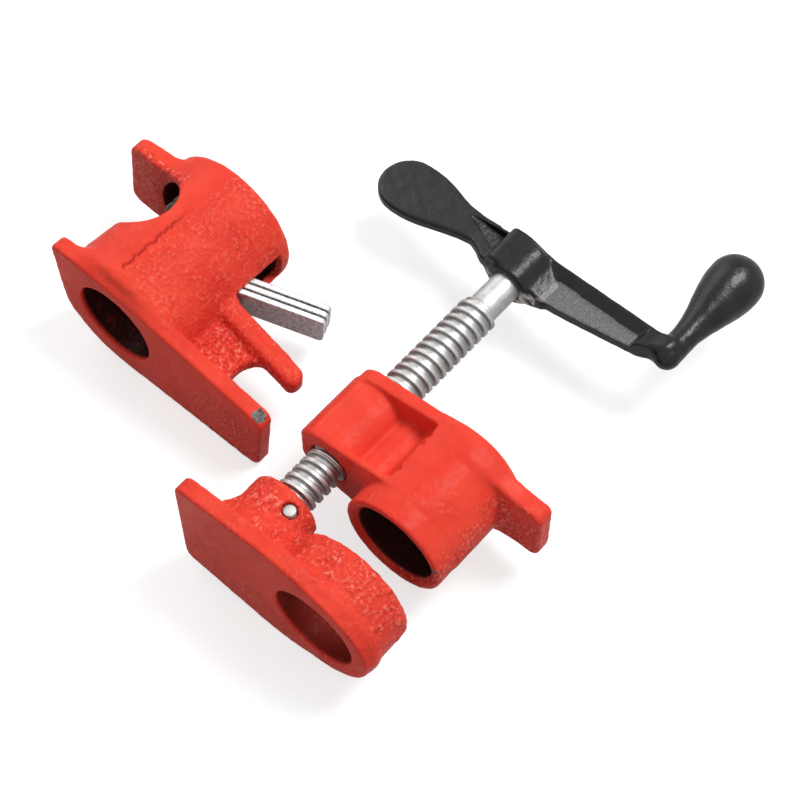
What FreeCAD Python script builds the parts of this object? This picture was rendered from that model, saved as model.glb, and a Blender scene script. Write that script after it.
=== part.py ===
# Clamp heads for a three-quarter-inch pipe: fixed head with crank screw, sliding front jaw, clutch tail jaw.
# Millimetres. The origin is the start of the head's pipe thread, +X runs along pipe and screw to the crank,
# +Y from the pipe to the screw, +Z up from the table that the two cast halves lie on.
import FreeCAD, Part

import math
import os

import Sketcher

Vector = FreeCAD.Vector

# Driving dimensions
SIZES = {
    # pipe fit
    "pipe_bore_radius": 13.9,
    "thread_bore_radius": 12.6,
    "thread_mouth_radius": 13.7,
    # screw
    "screw_offset": 30.8,
    "screw_radius": 6.35,
    "screw_root_radius": 4.85,
    "screw_pitch": 3.175,
    "neck_radius": 4.9,
    "neck_length": 17.6,
    "thread_length": 84.5,
    "shank_length": 12.1,
    "running_clearance": 0.1,
    "free_gap": 0.3,
    # front jaw
    "jaw_thickness": 5.5,
    "jaw_top": 50.5,
    "jaw_top_half": 20.7,
    "jaw_shoulder": 12.0,
    "jaw_shoulder_half": 24.3,
    "jaw_heel": 9.0,
    "jaw_heel_half": 17.3,
    "jaw_corner_radius": 4.0,
    "ring_face_radius": 19.5,
    "ring_radius": 19.2,
    "ring_depth": 18.75,
    "boss_radius": 11.2,
    "boss_depth": 24.5,
    "jaw_web_half": 8.0,
    "edge_rounding": 1.5,
    "gusset_reach": 8.5,
    "gusset_rise": 4.5,
    "gusset_half": 8.5,
    "pin_radius": 2.0,
    "pin_offset": 5.3,
    "pin_margin": 5.2,
    # head
    "barrel_gap": 15.35,
    "barrel_radius": 17.0,
    "barrel_core_radius": 14.8,
    "barrel_length": 34.9,
    "block_front": 6.9,
    "block_edge": 41.5,
    "block_half": 16.3,
    "block_edge_half": 9.8,
    "front_flange": 3.0,
    "rear_flange": 5.0,
    "pocket_near": 9.6,
    "pocket_far": 37.5,
    "pocket_floor_half": 2.5,
    "screw_barrel_radius": 9.6,
    "web_centre": 18.2,
    "web_radius": 5.8,
    "block_rounding": 7.0,
    "rim_rounding": 2.5,
    "foot_end": 30.0,
    "foot_half": 12.0,
    "foot_thickness": 6.0,
    "foot_step": 2.0,
    "foot_rounding": 2.5,
    # crank
    "crank_lift": 4.0,
    "hub_half": 12.2,
    "hub_length": 14.2,
    "hub_radius": 8.4,
    "hub_height": 6.2,
    "hub_crest_half": 4.5,
    "hub_lip": 1.0,
    "arm_reach": 52.8,
    "arm_half": 4.0,
    "arm_end_width": 8.9,
    "arm_end_shift": 4.9,
    "arm_web_half": 2.2,
    "arm_rib": 2.6,
    "elbow_radius": 4.3,
    "knob_neck_radius": 4.2,
    "knob_radius": 8.9,
    "knob_neck_end": 21.4,
    "knob_centre": 42.4,
    "paddle_reach": 56.0,
    "paddle_half": 9.8,
    "paddle_neck_half": 4.4,
    "paddle_neck": 22.0,
    "paddle_base": -0.4,
    "paddle_top": 3.8,
    "paddle_centre": 8.5,
    # tail jaw
    "tail_x": 1.1,
    "tail_y": 110.9,
    "tail_thickness": 5.5,
    "tip_rounding_share": 0.42,
    "tail_half": 16.0,
    "tail_heel": 26.5,
    "tail_reach": 58.2,
    "shell_radius": 22.8,
    "shell_length": 54.0,
    "shell_rounding": 3.0,
    "cavity_radius": 20.2,
    "cavity_front": 8.0,
    "seat_depth": 5.5,
    "ear_front": 43.5,
    "ear_reach": 34.0,
    "ear_slope": 4.5,
    "ear_half": 15.0,
    "scoop_radius": 10.0,
    "scoop_depth": 6.4,
    "scoop_lip": 9.5,
    "scoop_lip_height": 20.5,
    "slot_front": 29.5,
    "slot_length": 19.0,
    "slot_half": 6.2,
    "prong_root": 23.0,
    "prong_thickness": 7.0,
    "prong_reach": 54.5,
    "prong_lean": 5.0,
    "prong_half": 6.0,
    "prong_web_half": 2.5,
    "prong_web_reach": 45.0,
    "notch_radius": 11.0,
    # clutch
    "clutch_tilt": 21.0,
    "plate_thickness": 2.15,
    "plate_gap": 0.2,
    "plate_radius": 18.2,
    "plate_hole_radius": 14.0,
    "plate_tail_half": 5.75,
    "plate_tail_reach": 27.4,
    "spring_radius": 15.1,
    "spring_wire_radius": 0.8,
    # every cut runs past the face that it starts from by this much
    "overrun": 1.0,
}

# Places worked out from the driving dimensions
PLACES = {
    "mouth": "thread_bore_radius - thread_mouth_radius",
    "jaw_face": "-(ring_depth + barrel_gap)",
    "boss_rear": "boss_depth - ring_depth - barrel_gap",
    "neck_tip": "boss_depth - ring_depth - barrel_gap - neck_length + 2 * free_gap",
    "thread_start": "boss_depth - ring_depth - barrel_gap + 2 * free_gap",
    "thread_end": "boss_depth - ring_depth - barrel_gap + 2 * free_gap + thread_length",
    "crank_x": "boss_depth - ring_depth - barrel_gap + 2 * free_gap + thread_length + shank_length",
    "pin_x": "boss_depth - pin_margin - ring_depth - barrel_gap",
    "pin_y": "screw_offset - pin_offset",
    "groove_radius": "pin_offset - pin_radius - running_clearance",
    "tail_z": "shell_radius - jaw_shoulder_half",
    "scoop_x": "ear_front - scoop_radius",
    "scoop_y": "scoop_depth + scoop_radius",
    "slot_corner": "sqrt(cavity_radius ^ 2 - slot_half ^ 2)",
    "hinge_y": "-(shell_radius + cavity_radius) / 2",
    "hinge_x": "slot_front + free_gap - (hinge_y + slot_corner) * tan(clutch_tilt * 1 deg)",
}

document = FreeCAD.newDocument("pipe_clamp")
pieces = []


def qualified(formula):
    """The formula with each named size or place written as a reference to its sheet."""
    words = []
    for word in formula.replace("(", "( ").replace(")", " )").split():
        sign = "-" if word.startswith("-") and len(word) > 1 else ""
        name = word[len(sign):]
        if name in SIZES:
            words.append(sign + "Sizes." + name)
        elif name in PLACES:
            words.append(sign + "Places." + name)
        else:
            words.append(word)
    return " ".join(words)


def fill_sheet(name, rows):
    """A spreadsheet with one aliased cell for each row."""
    sheet = document.addObject("Spreadsheet::Sheet", name)
    for number, (alias, content) in enumerate(rows, start=1):
        cell = f"B{number}"
        sheet.set(f"A{number}", alias)
        sheet.set(cell, content)
        sheet.setAlias(cell, alias)
    document.recompute()
    return sheet


sizes = fill_sheet("Sizes", [(alias, str(value)) for alias, value in SIZES.items()])
places = fill_sheet("Places", [(alias, "=" + qualified(formula)) for alias, formula in PLACES.items()])


def bind(thing, prop, formula):
    """Ties a property to a formula in the named sizes."""
    thing.setExpression(prop, qualified(formula))


def new_body(name):
    """An empty body whose label names the piece."""
    body = document.addObject("PartDesign::Body", name)
    body.Label = name
    pieces.append(body)
    return body


def new_sketch(body, role, start):
    """An empty sketch on one of the body's own planes, moved along the plane's normal to start."""
    plane = [feature for feature in body.Origin.OriginFeatures if feature.Role == role][0]
    sketch = body.newObject("Sketcher::SketchObject", body.Name + "_sketch")
    sketch.AttachmentSupport = [(plane, "")]
    sketch.MapMode = "FlatFace"
    bind(sketch, "AttachmentOffset.Base.z", start)
    return sketch


def hold_point(sketch, geometry, point, place):
    """Ties a point of the sketch to a pair of formulas measured from the sketch's origin."""
    for kind, formula in zip(("DistanceX", "DistanceY"), place):
        number = sketch.addConstraint(Sketcher.Constraint(kind, -1, 1, geometry, point, 1.0))
        bind(sketch, f"Constraints[{number}]", formula)


def circle_sketch(body, start, centre, radius, role="YZ_Plane"):
    """A sketch with one circle."""
    sketch = new_sketch(body, role, start)
    circle = sketch.addGeometry(Part.Circle(Vector(1, 1, 0), Vector(0, 0, 1), 1), False)
    hold_point(sketch, circle, 3, centre)
    number = sketch.addConstraint(Sketcher.Constraint("Radius", circle, 1.0))
    bind(sketch, f"Constraints[{number}]", radius)
    return sketch


def outline_sketch(body, role, start, corners):
    """A sketch with one closed outline of straight lines through the corners."""
    sketch = new_sketch(body, role, start)
    count = len(corners)
    first_guess = [Vector(math.cos(turn), math.sin(turn), 0)
                   for turn in (2 * math.pi * number / count for number in range(count))]
    for number in range(count):
        sketch.addGeometry(Part.LineSegment(first_guess[number], first_guess[(number + 1) % count]), False)
    for number in range(count):
        sketch.addConstraint(Sketcher.Constraint("Coincident", number, 2, (number + 1) % count, 1))
    for number, corner in enumerate(corners):
        hold_point(sketch, number, 1, corner)
    return sketch


def add_feature(body, kind, sketch, length, both_ways):
    """Pads or pockets a sketch and makes sure that the body's volume changed the right way."""
    before = body.Shape.Volume if body.Shape.Solids else 0
    feature = body.newObject("PartDesign::" + kind, body.Name + "_" + kind.lower())
    feature.Profile = sketch
    if both_ways:
        feature.SideType = "Symmetric"
    elif kind == "Pocket":
        feature.Reversed = True
    bind(feature, "Length", length)
    document.recompute()
    change = body.Shape.Volume - before
    if change == 0 or (change > 0) != (kind == "Pad"):
        raise RuntimeError(f"{feature.Name} of {body.Name} changes nothing")
    return feature


def pad(body, sketch, length, both_ways=False):
    """Adds material along the sketch's normal, or to both sides of the sketch."""
    return add_feature(body, "Pad", sketch, length, both_ways)


def pocket(body, sketch, length, both_ways=False):
    """Takes material away along the sketch's normal, or on both sides of the sketch."""
    return add_feature(body, "Pocket", sketch, length, both_ways)


def rod(body, start, length, centre, radius):
    """Adds a cylinder along X."""
    pad(body, circle_sketch(body, start, centre, radius), length)


def bore(body, start, length, centre, radius):
    """Cuts a cylinder along X."""
    pocket(body, circle_sketch(body, start, centre, radius), length)


def round_edges(body, radius, wanted):
    """Rounds the edges of the body for which wanted(edge) holds."""
    base = body.Tip
    names = [f"Edge{number}" for number, edge in enumerate(base.Shape.Edges, start=1) if wanted(edge)]
    if not names:
        raise RuntimeError(f"no edge of {body.Name} to round")
    fillet = body.newObject("PartDesign::Fillet", body.Name + "_fillet")
    fillet.Base = (base, names)
    bind(fillet, "Radius", radius)
    document.recompute()
    if not fillet.isValid():
        raise RuntimeError(f"{fillet.Name} failed")


# Two lengths agree where they differ by less than this share of a size of the piece
MATCH_SHARE = 1e-4


def near(value, wanted, size):
    """True where two lengths agree."""
    return abs(value - wanted) < MATCH_SHARE * size


def is_ring(edge, place, radius):
    """True for a circle or arc across X at the given place and radius."""
    curve = edge.Curve
    if not isinstance(curve, Part.Circle):
        return False
    return near(curve.Center.x, place, radius) and near(curve.Radius, radius, radius)


def runs_along(edge, axis):
    """True for a straight edge along the axis."""
    if not isinstance(edge.Curve, Part.Line):
        return False
    return near(abs(edge.Curve.Direction.dot(axis)), 1, 1)


X_AXIS = Vector(1, 0, 0)
Z_AXIS = Vector(0, 0, 1)
PIPE = ("0", "0")
SCREW = ("screw_offset", "0")


def front_jaw():
    """Sliding jaw: tapered plate with the pipe ring and the screw boss behind it, in one casting."""
    body = new_body("front_jaw_casting")
    plate = [("jaw_top", "jaw_top_half"), ("jaw_shoulder", "jaw_shoulder_half"),
             ("-jaw_heel", "jaw_heel_half"), ("-jaw_heel", "-jaw_heel_half"),
             ("jaw_shoulder", "-jaw_shoulder_half"), ("jaw_top", "-jaw_top_half")]
    pad(body, outline_sketch(body, "YZ_Plane", "jaw_face", plate), "jaw_thickness")
    top = sizes.jaw_top
    round_edges(body, "jaw_corner_radius",
                lambda edge: runs_along(edge, X_AXIS) and near(edge.CenterOfMass.y, top, top))
    shoulder = sizes.jaw_shoulder
    round_edges(body, "jaw_shoulder_half / 2",
                lambda edge: runs_along(edge, X_AXIS) and near(edge.CenterOfMass.y, shoulder, shoulder))
    rod(body, "jaw_face", "jaw_thickness", PIPE, "ring_face_radius")
    rod(body, "jaw_face", "ring_depth", PIPE, "ring_radius")
    rear = places.jaw_face + sizes.ring_depth
    round_edges(body, "edge_rounding", lambda edge: is_ring(edge, rear, sizes.ring_radius))
    rod(body, "jaw_face", "boss_depth", SCREW, "boss_radius")
    round_edges(body, "edge_rounding", lambda edge: is_ring(edge, places.boss_rear, sizes.boss_radius))
    web = [("0", "jaw_web_half"), ("0", "-jaw_web_half"),
           ("screw_offset", "-jaw_web_half"), ("screw_offset", "jaw_web_half")]
    pad(body, outline_sketch(body, "YZ_Plane", "jaw_face", web), "ring_depth - 2 * edge_rounding")
    gusset = [("jaw_face + jaw_thickness / 2", "screw_offset"),
              ("jaw_face + jaw_thickness + gusset_reach", "screw_offset"),
              ("jaw_face + jaw_thickness + gusset_reach", "screw_offset + boss_radius / 2"),
              ("jaw_face + jaw_thickness", "screw_offset + boss_radius + gusset_rise"),
              ("jaw_face + jaw_thickness / 2", "screw_offset + boss_radius + gusset_rise")]
    pad(body, outline_sketch(body, "XY_Plane", "0", gusset), "2 * gusset_half", both_ways=True)
    bore(body, "jaw_face - overrun", "ring_depth + 2 * overrun", PIPE, "pipe_bore_radius")
    bore(body, "neck_tip - free_gap", "neck_length + overrun", SCREW, "neck_radius + running_clearance")
    hole = circle_sketch(body, "0", ("pin_x", "pin_y"), "pin_radius", role="XY_Plane")
    pocket(body, hole, "2 * (boss_radius + overrun)", both_ways=True)


def retaining_pin():
    """Pin across the boss, in the groove of the screw's neck, its ends flush with the boss."""
    body = new_body("jaw_retaining_pin")
    length = "2 * sqrt(boss_radius ^ 2 - (pin_offset + pin_radius) ^ 2)"
    pad(body, circle_sketch(body, "0", ("pin_x", "pin_y"), "pin_radius", role="XY_Plane"), length, both_ways=True)


def head():
    """Fixed head: threaded pipe barrel, pocketed screw block beside it and a foot at the rear."""
    body = new_body("head_casting")
    rod(body, "mouth", "barrel_length - mouth", PIPE, "barrel_radius")
    round_edges(body, "rim_rounding", lambda edge: is_ring(edge, sizes.barrel_length, sizes.barrel_radius))
    block = [("0", "block_half"), ("0", "-block_half"), ("block_edge", "-block_edge_half"),
             ("block_edge", "block_edge_half")]
    pad(body, outline_sketch(body, "YZ_Plane", "block_front", block), "barrel_length - block_front")
    block_edge = sizes.block_edge
    round_edges(body, "block_rounding",
                lambda edge: runs_along(edge, X_AXIS) and near(edge.CenterOfMass.y, block_edge, block_edge))
    cut_pockets(body)
    pocket_start = "block_front + front_flange - overrun"
    pocket_run = "barrel_length - block_front - front_flange - rear_flange + 2 * overrun"
    rod(body, pocket_start, pocket_run, PIPE, "barrel_core_radius")
    rod(body, pocket_start, pocket_run, SCREW, "screw_barrel_radius")
    rod(body, pocket_start, pocket_run, ("web_centre", "0"), "web_radius")
    foot = [("0", "foot_half"), ("0", "-foot_half"), ("-foot_end", "-foot_half"), ("-foot_end", "foot_half")]
    pad(body, outline_sketch(body, "YZ_Plane", "barrel_length - foot_step - foot_thickness", foot), "foot_thickness")
    foot_end = -sizes.foot_end
    round_edges(body, "foot_rounding",
                lambda edge: runs_along(edge, X_AXIS) and near(edge.CenterOfMass.y, foot_end, block_edge))
    bore(body, "mouth - overrun", "barrel_length - mouth + 2 * overrun", PIPE, "thread_bore_radius")
    mouth = [f"Edge{number}" for number, edge in enumerate(body.Shape.Edges, start=1)
             if is_ring(edge, places.mouth, sizes.thread_bore_radius)]
    base = body.Tip
    flare = body.newObject("PartDesign::Chamfer", "pipe_mouth")
    flare.Base = (base, mouth)
    bind(flare, "Size", "thread_mouth_radius - thread_bore_radius")
    document.recompute()
    bore(body, "block_front - overrun", "barrel_length + overrun", SCREW, "screw_radius + running_clearance")


def cut_pockets(body):
    """Cuts the upper and the lower pocket between the block's two flanges."""
    start = "block_front + front_flange"
    depth = "barrel_length - block_front - front_flange - rear_flange"
    for side in ("", "-"):
        corners = [("pocket_near", side + "pocket_floor_half"), ("pocket_far", side + "pocket_floor_half"),
                   ("pocket_far", side + "barrel_radius"), ("pocket_near", side + "barrel_radius")]
        pocket(body, outline_sketch(body, "YZ_Plane", start, corners), depth)


def screw():
    """Main screw: grooved neck in the jaw's boss, one long helical thread and a bare shank into the crank."""
    stages = [
        ("neck_end", "neck_tip", "neck_length / 2 - 2 * pin_radius", "neck_radius"),
        ("neck_groove", "neck_tip", "neck_length", "groove_radius"),
        ("neck_root", "pin_x + pin_radius + free_gap", "thread_start - pin_x - pin_radius - free_gap", "neck_radius"),
        ("thread_core", "thread_start", "thread_length", "screw_root_radius"),
        ("shank", "thread_end", "shank_length + hub_length", "neck_radius"),
    ]
    parts = [screw_ridge()]
    for name, start, length, radius in stages:
        cylinder = document.addObject("Part::Cylinder", name)
        cylinder.Placement = FreeCAD.Placement(Vector(0, 0, 0), FreeCAD.Rotation(Vector(0, 1, 0), 90))
        bind(cylinder, "Placement.Base.x", start)
        bind(cylinder, "Placement.Base.y", "screw_offset")
        bind(cylinder, "Height", length)
        bind(cylinder, "Radius", radius)
        parts.append(cylinder)
    spindle = document.addObject("Part::MultiFuse", "screw_spindle")
    spindle.Label = "screw_spindle"
    spindle.Shapes = parts
    document.recompute()
    pieces.append(spindle)


THREAD_CREST_SHARE = 0.37
THREAD_FLANK_SHARE = 0.13
THREAD_SINK_SHARE = 0.2


def screw_ridge():
    """The thread's ridge: a trapezium swept along a helix, its root sunk a little into the core."""
    pitch = sizes.screw_pitch
    height = sizes.screw_radius - sizes.screw_root_radius
    root = sizes.screw_root_radius - height * THREAD_SINK_SHARE
    crest_half = pitch * THREAD_CREST_SHARE / 2
    root_half = crest_half + pitch * THREAD_FLANK_SHARE * (1 + THREAD_SINK_SHARE)
    corners = [Vector(root, 0, -root_half), Vector(sizes.screw_radius, 0, -crest_half),
               Vector(sizes.screw_radius, 0, crest_half), Vector(root, 0, root_half)]
    run = sizes.thread_length - 2 * root_half
    path = Part.Wire(Part.makeHelix(pitch, run, sizes.screw_root_radius).Edges)
    ridge = document.addObject("Part::Feature", "thread_ridge")
    ridge.Shape = path.makePipeShell([Part.makePolygon(corners + corners[:1])], True, True)
    ridge.Placement = FreeCAD.Placement(Vector(places.thread_start + root_half, sizes.screw_offset, 0),
                                        FreeCAD.Rotation(Vector(0, 1, 0), 90))
    return ridge


def crank():
    """Cast crank: ribbed arm with a knob on one side of the hub, a flat paddle on the other."""
    body = new_body("crank_handle")
    body.Placement = FreeCAD.Placement(Vector(0, 0, 0), FreeCAD.Rotation(Vector(-1, 0, 0), 1))
    bind(body, "Placement.Base.x", "crank_x")
    bind(body, "Placement.Base.y", "screw_offset")
    bind(body, "Placement.Rotation.Angle", "crank_lift * 1 deg")
    arm = [("0", "0"), ("hub_length", "0"), ("hub_length", "-hub_half"),
           ("arm_end_shift + arm_end_width", "-arm_reach"), ("arm_end_shift + elbow_radius", "-arm_reach"),
           ("arm_end_shift", "-arm_reach + elbow_radius"), ("0", "-hub_half")]
    pad(body, outline_sketch(body, "XY_Plane", "0", arm), "2 * arm_half", both_ways=True)
    cut_arm_webs(body)
    hub = [("hub_crest_half", "hub_height"), ("-hub_crest_half", "hub_height"), ("-hub_half", "arm_half"),
           ("-hub_half", "-arm_half"), ("-hub_crest_half", "-hub_height"), ("hub_crest_half", "-hub_height"),
           ("hub_half", "paddle_base"), ("hub_half", "paddle_top")]
    pad(body, outline_sketch(body, "YZ_Plane", "0", hub), "hub_length")
    add_paddle(body)
    rod(body, "-hub_lip", "hub_length + hub_lip", PIPE, "hub_radius")
    add_knob(body)
    bore(body, "-hub_lip - overrun", "hub_length + hub_lip + 2 * overrun", PIPE, "neck_radius")


def cut_arm_webs(body):
    """Cuts the upper and lower recess of the arm, so that ribs stand round a thin web."""
    recess = [("arm_rib", "-hub_half"), ("hub_length - arm_rib", "-hub_half"),
              ("arm_end_shift + arm_end_width - arm_rib", "-arm_reach + 2 * elbow_radius"),
              ("arm_end_shift + arm_rib", "-arm_reach + 2 * elbow_radius")]
    for start in ("arm_web_half", "-arm_web_half - arm_half"):
        pocket(body, outline_sketch(body, "XY_Plane", start, recess), "arm_half")


def add_paddle(body):
    """The flat grip that widens from a neck at the hub to a rounded end."""
    blade = [("paddle_centre - paddle_neck_half", "0"), ("paddle_centre + paddle_neck_half", "0"),
             ("paddle_centre + paddle_neck_half", "paddle_neck"),
             ("paddle_centre + paddle_half", "paddle_reach - paddle_half"),
             ("paddle_centre - paddle_half", "paddle_reach - paddle_half"),
             ("paddle_centre - paddle_neck_half", "paddle_neck")]
    thickness = "paddle_top - paddle_base"
    pad(body, outline_sketch(body, "XY_Plane", "paddle_base", blade), thickness)
    end = ("paddle_centre", "paddle_reach - paddle_half")
    pad(body, circle_sketch(body, "paddle_base", end, "paddle_half", role="XY_Plane"), thickness)


def add_knob(body):
    """Rounded elbow at the arm's end, then a pear-shaped knob turned about an axis parallel to the screw."""
    grip = ("-arm_reach", "0")
    rod(body, "arm_end_shift + elbow_radius / 2", "arm_end_width", grip, "elbow_radius")
    knob_start = "arm_end_shift + arm_end_width"
    sketch = outline_sketch(body, "XY_Plane", "0", [
        (knob_start, "-arm_reach"), (knob_start, "-arm_reach + knob_neck_radius"),
        ("knob_neck_end", "-arm_reach + knob_neck_radius"),
        ("knob_centre - knob_radius / 2", "-arm_reach + knob_radius * cos(30 deg)"),
        ("knob_centre", "-arm_reach + knob_radius * cos(30 deg)"), ("knob_centre", "-arm_reach")])
    turn(body, sketch)
    ball = body.newObject("PartDesign::AdditiveSphere", "knob_ball")
    bind(ball, "Radius", "knob_radius")
    bind(ball, "Placement.Base.x", "knob_centre")
    bind(ball, "Placement.Base.y", "-arm_reach")
    document.recompute()


def turn(body, sketch):
    """Turns an outline about its first side."""
    feature = body.newObject("PartDesign::Revolution", body.Name + "_turned")
    feature.Profile = sketch
    axis = sketch.addGeometry(Part.LineSegment(Vector(0, 0, 0), Vector(1, 0, 0)), True)
    hold_point(sketch, axis, 1, ("0", "-arm_reach"))
    hold_point(sketch, axis, 2, ("hub_length", "-arm_reach"))
    feature.ReferenceAxis = (sketch, ["Axis0"])
    feature.Angle = 360
    document.recompute()


def tail_jaw():
    """Sliding tail jaw: plate, round clutch housing with a scooped side and an ear, and a guard prong."""
    body = new_body("tail_jaw_casting")
    body.Placement = tail_place()
    web = [("tail_thickness / 2", "-cavity_radius"), ("prong_root + prong_thickness / 2", "-cavity_radius"),
           ("prong_root", "-prong_web_reach"), ("tail_thickness / 2", "-prong_web_reach")]
    pad(body, outline_sketch(body, "XY_Plane", "0", web), "2 * prong_web_half", both_ways=True)
    notch = circle_sketch(body, "0", ("prong_root - notch_radius", "-prong_web_reach - notch_radius / 3"),
                          "notch_radius", role="XY_Plane")
    pocket(body, notch, "4 * prong_web_half", both_ways=True)
    add_tail_plate(body)
    rod(body, "tail_thickness / 2", "shell_length - tail_thickness / 2", PIPE, "shell_radius")
    round_edges(body, "shell_rounding", lambda edge: is_ring(edge, sizes.shell_length, sizes.shell_radius))
    add_ear(body)
    add_prong(body)
    bore(body, "cavity_front", "shell_length - cavity_front - seat_depth", PIPE, "cavity_radius")
    bore(body, "-overrun", "shell_length + 2 * overrun", PIPE, "pipe_bore_radius")
    cut_scoop(body)
    slot = [("slot_front", "-cavity_radius / 2"), ("slot_front + slot_length", "-cavity_radius / 2"),
            ("slot_front + slot_length", "-shell_radius - overrun"), ("slot_front", "-shell_radius - overrun")]
    pocket(body, outline_sketch(body, "XY_Plane", "0", slot), "2 * slot_half", both_ways=True)


def tail_place():
    """Where the tail jaw lies, rolled about its own pipe axis until the plate's end meets the table."""
    corner = math.hypot(sizes.tail_reach, sizes.tail_half)
    roll = math.asin(sizes.shell_radius / corner) - math.atan(sizes.tail_half / sizes.tail_reach)
    spot = Vector(sizes.tail_x, sizes.tail_y, places.tail_z)
    return FreeCAD.Placement(spot, FreeCAD.Rotation(X_AXIS, math.degrees(roll)))


def add_tail_plate(body):
    """The flat jaw plate, its free end rounded in plan."""
    plate = [("tail_heel", "tail_half"), ("tail_heel", "-tail_half"),
             ("-tail_reach", "-tail_half"), ("-tail_reach", "tail_half")]
    pad(body, outline_sketch(body, "YZ_Plane", "0", plate), "tail_thickness")
    heel = sizes.tail_heel
    tip = -sizes.tail_reach
    round_edges(body, "jaw_corner_radius",
                lambda edge: runs_along(edge, X_AXIS) and near(edge.CenterOfMass.y, heel, sizes.shell_radius))
    round_edges(body, "tail_thickness * tip_rounding_share",
                lambda edge: runs_along(edge, Z_AXIS) and near(edge.CenterOfMass.y, tip, sizes.shell_radius))


def add_ear(body):
    """The rear wall, carried on past the shell as a sloping ear."""
    ear = [("ear_front", "0"), ("shell_length - shell_rounding", "0"),
           ("shell_length - shell_rounding", "cavity_radius"),
           ("shell_length - ear_slope", "ear_reach"), ("ear_front", "ear_reach")]
    pad(body, outline_sketch(body, "XY_Plane", "0", ear), "2 * ear_half", both_ways=True)
    top = sizes.ear_reach
    round_edges(body, "jaw_corner_radius",
                lambda edge: runs_along(edge, X_AXIS) and near(edge.CenterOfMass.y, top, sizes.shell_radius))


def add_prong(body):
    """The finger behind the plate that guards the clutch plates' ends."""
    prong = [("prong_root", "-cavity_radius"), ("prong_root + prong_thickness", "-cavity_radius"),
             ("prong_root + prong_thickness - prong_lean", "-prong_reach"),
             ("prong_root - prong_lean", "-prong_reach")]
    pad(body, outline_sketch(body, "XY_Plane", "-prong_web_half", prong), "prong_web_half + prong_half")
    tip = -sizes.prong_reach
    round_edges(body, "prong_thickness * tip_rounding_share",
                lambda edge: runs_along(edge, Z_AXIS) and near(edge.CenterOfMass.y, tip, sizes.shell_radius))


def cut_scoop(body):
    """Opens the shell's side away from the plates with a round scoop between the lip and the ear."""
    length = "4 * shell_radius"
    hollow = circle_sketch(body, "0", ("scoop_x", "scoop_y"), "scoop_radius", role="XY_Plane")
    pocket(body, hollow, length, both_ways=True)
    mouth = [("ear_front", "scoop_y"), ("ear_front", "ear_reach + overrun"), ("scoop_lip", "ear_reach + overrun"),
             ("scoop_lip", "scoop_lip_height"), ("scoop_x - scoop_radius", "scoop_y")]
    pocket(body, outline_sketch(body, "XY_Plane", "0", mouth), length, both_ways=True)


def clutch_plates():
    """Three loose plates, stacked and tilted together about the front edge of the housing's slot."""
    for number, rank in enumerate(("front", "middle", "rear")):
        body = new_body("clutch_plate_" + rank)
        hinge = Vector(places.hinge_x, places.hinge_y, 0)
        body.Placement = tail_place() * FreeCAD.Placement(hinge, FreeCAD.Rotation(Z_AXIS, sizes.clutch_tilt))
        start = f"{number} * (plate_thickness + plate_gap)"
        rod(body, start, "plate_thickness", ("-hinge_y", "0"), "plate_radius")
        tongue = [("-hinge_y", "plate_tail_half"), ("-hinge_y", "-plate_tail_half"),
                  ("-plate_tail_reach", "-plate_tail_half"), ("-plate_tail_reach", "plate_tail_half")]
        pad(body, outline_sketch(body, "YZ_Plane", start, tongue), "plate_thickness")
        bore(body, f"{start} - overrun", "plate_thickness + 2 * overrun", ("-hinge_y", "0"), "plate_hole_radius")


def arc_from(start, tangent, end):
    """The arc that leaves start along tangent and ends at end."""
    chord = end - start
    heading = Vector(chord).normalize()
    halfway = (tangent + heading).normalize()
    middle = start + halfway * (chord.Length / (2 * halfway.dot(heading)))
    return Part.Arc(start, middle, end).toShape()


def biarc(start, leave, end, arrive):
    """Two arcs joined in one line that leave start and arrive at end along the given tangents."""
    chord = end - start
    along = chord.dot(leave + arrive)
    spread = 2 * (1 - leave.dot(arrive))
    reach = (math.sqrt(along ** 2 + spread * chord.dot(chord)) - along) / spread
    joint = (start + leave * reach + end - arrive * reach) * 0.5
    return [arc_from(start, leave, joint),
            arc_from(end, arrive * -1, joint)]


SPRING_TURNS = 3.5
SPRING_STEPS = 14


def spring():
    """Coil round the pipe between the rear plate and its seat in the housing's rear wall."""
    radius = sizes.spring_radius
    wire = sizes.spring_wire_radius
    tilt = math.radians(sizes.clutch_tilt)
    stack = 3 * sizes.plate_thickness + 2 * sizes.plate_gap
    stack_x = places.hinge_x + stack * math.cos(tilt)
    stack_y = places.hinge_y + stack * math.sin(tilt)
    outer = radius + wire
    first = stack_x + (outer + stack_y) * math.tan(tilt) + wire + sizes.running_clearance
    last = sizes.shell_length - sizes.seat_depth - wire - sizes.running_clearance
    climb = (last - first) / (2 * math.pi * SPRING_TURNS)

    def place(turn):
        return Vector(first + climb * turn, -radius * math.cos(turn), -radius * math.sin(turn))

    def heading(turn):
        return Vector(climb, radius * math.sin(turn), -radius * math.cos(turn)).normalize()

    turns = [2 * math.pi * SPRING_TURNS * step / SPRING_STEPS for step in range(SPRING_STEPS + 1)]
    arcs = []
    for now, then in zip(turns, turns[1:]):
        arcs += biarc(place(now), heading(now), place(then), heading(then))
    path = Part.Wire(Part.__sortEdges__(arcs))
    ring = Part.Wire(Part.Circle(place(0), heading(0), wire).toShape())
    print("spring gap between turns:", round(2 * math.pi * climb - 2 * wire, 3))
    coil = document.addObject("Part::Feature", "clutch_spring")
    coil.Label = "clutch_spring"
    coil.Shape = path.makePipeShell([ring], True, False)
    coil.Placement = tail_place()
    pieces.append(coil)


def build_all():
    """Makes every piece."""
    front_jaw()
    retaining_pin()
    head()
    screw()
    crank()
    tail_jaw()
    clutch_plates()
    spring()


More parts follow.
